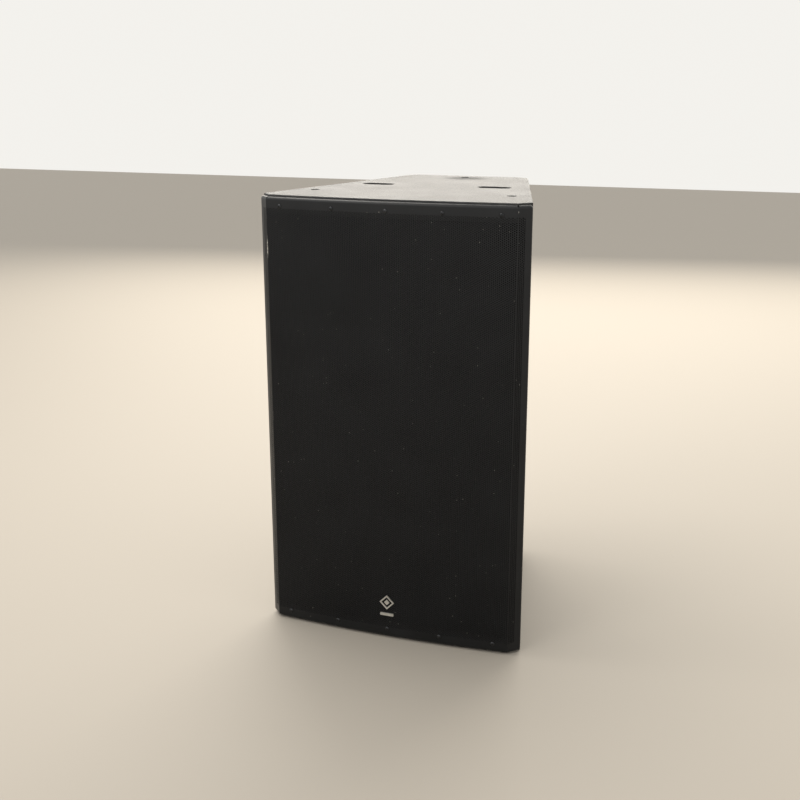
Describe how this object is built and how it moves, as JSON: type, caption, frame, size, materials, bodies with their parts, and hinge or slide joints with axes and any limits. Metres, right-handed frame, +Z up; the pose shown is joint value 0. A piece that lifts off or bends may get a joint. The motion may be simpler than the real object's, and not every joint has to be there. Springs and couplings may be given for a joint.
{
  "type": "pa speaker cabinet",
  "caption": "Trapezoidal two-way loudspeaker cabinet with a curved wrap-around perforated grille, rigging points, finger slots and a recessed input dish.",
  "frame": {"origin": "middle of the underside of the bounding box", "axes": "+Z up, the grille faces -Y, +X to the right seen from the front"},
  "size_m": [0.4498, 0.454, 0.74],
  "materials": {
    "painted_plywood": "matte",
    "bare_plywood": "matte",
    "black_plastic": "satin",
    "switch_plastic": "satin",
    "plated_steel": "satin",
    "wadding": "matte",
    "grille_paint": "satin",
    "foam": "matte",
    "gasket_foam": "matte",
    "black_fasteners": "satin",
    "badge_metal": "satin",
    "cast_aluminium": "matte",
    "ferrite": "matte",
    "cone_paper": "matte",
    "surround_cloth": "matte",
    "spider_cloth": "matte",
    "coil_wire": "satin",
    "horn_plastic": "matte",
    "diaphragm_metal": "satin",
    "suspension_film": "gloss",
    "circuit_board": "satin",
    "copper_wire": "satin",
    "capacitor_film": "gloss",
    "cement": "matte",
    "dish_steel": "satin",
    "nickel_plate": "satin",
    "lead_sheath": "satin"
  },
  "bodies": {
    "cabinet": {"top_panel": "painted_plywood", "bottom_panel": "painted_plywood", "left_side_panel": "painted_plywood", "right_side_panel": "painted_plywood", "back_panel": "painted_plywood", "front_baffle": "painted_plywood", "window_brace": "bare_plywood", "grille_battens": "bare_plywood", "top_slot_cups": "black_plastic", "bottom_slot_cups": "black_plastic", "speaker_sockets": "black_plastic", "terminal_strip": "black_plastic", "mode_switch_body": "black_plastic", "port_tubes": "black_plastic", "driver_clamp_ring": "black_plastic", "woofer_terminals": "black_plastic", "crossover_standoffs": "black_plastic", "top_rigging_inserts": "plated_steel", "bottom_rigging_inserts": "plated_steel", "rear_rigging_insert": "plated_steel", "driver_throat_plate": "plated_steel", "driver_top_plate": "plated_steel", "woofer_top_plate": "plated_steel", "woofer_back_plate": "plated_steel", "crossover_screws": "plated_steel", "wadding": "wadding", "grille": "grille_paint", "grille_foam": "foam", "grille_gasket": "gasket_foam", "woofer_gasket": "gasket_foam", "horn_gasket": "gasket_foam", "input_gasket": "gasket_foam", "grille_screws": "black_fasteners", "woofer_bolts": "black_fasteners", "horn_screws": "black_fasteners", "driver_bolts": "black_fasteners", "input_screws": "black_fasteners", "badge": "badge_metal", "woofer_frame": "cast_aluminium", "driver_rear_cover": "cast_aluminium", "woofer_magnet": "ferrite", "driver_magnet": "ferrite", "woofer_surround": "surround_cloth", "woofer_spider": "spider_cloth", "horn_flare": "horn_plastic", "driver_phase_plug": "diaphragm_metal", "driver_suspension": "suspension_film", "crossover_board": "circuit_board", "crossover_inductors": "copper_wire", "crossover_capacitors": "capacitor_film", "crossover_resistors": "cement", "input_dish": "dish_steel", "terminal_screws": "nickel_plate", "internal_leads": "lead_sheath"},
    "cone_assembly": {"woofer_cone": "cone_paper", "woofer_dust_cap": "cone_paper", "woofer_voice_coil": "coil_wire"},
    "diaphragm_assembly": {"driver_diaphragm": "diaphragm_metal", "driver_voice_coil": "coil_wire"},
    "mode_switch": {"mode_switch_knob": "switch_plastic"}
  },
  "joints": [
    {"name": "cone_travel", "type": "slide", "parent": "cabinet", "child": "cone_assembly", "axis": [0, -1, 0], "range_m": [-0.008, 0.008], "stiffness_N_per_m": 5000, "deforming": ["woofer_surround", "woofer_spider"]},
    {"name": "diaphragm_travel", "type": "slide", "parent": "cabinet", "child": "diaphragm_assembly", "axis": [0, -1, 0], "range_m": [-0.0004, 0.0004], "stiffness_N_per_m": 2000, "deforming": ["driver_suspension"]},
    {"name": "mode_switch_slide", "type": "slide", "parent": "cabinet", "child": "mode_switch", "axis": [1, 0, 0], "range_m": [0, 0.005]}
  ]
}
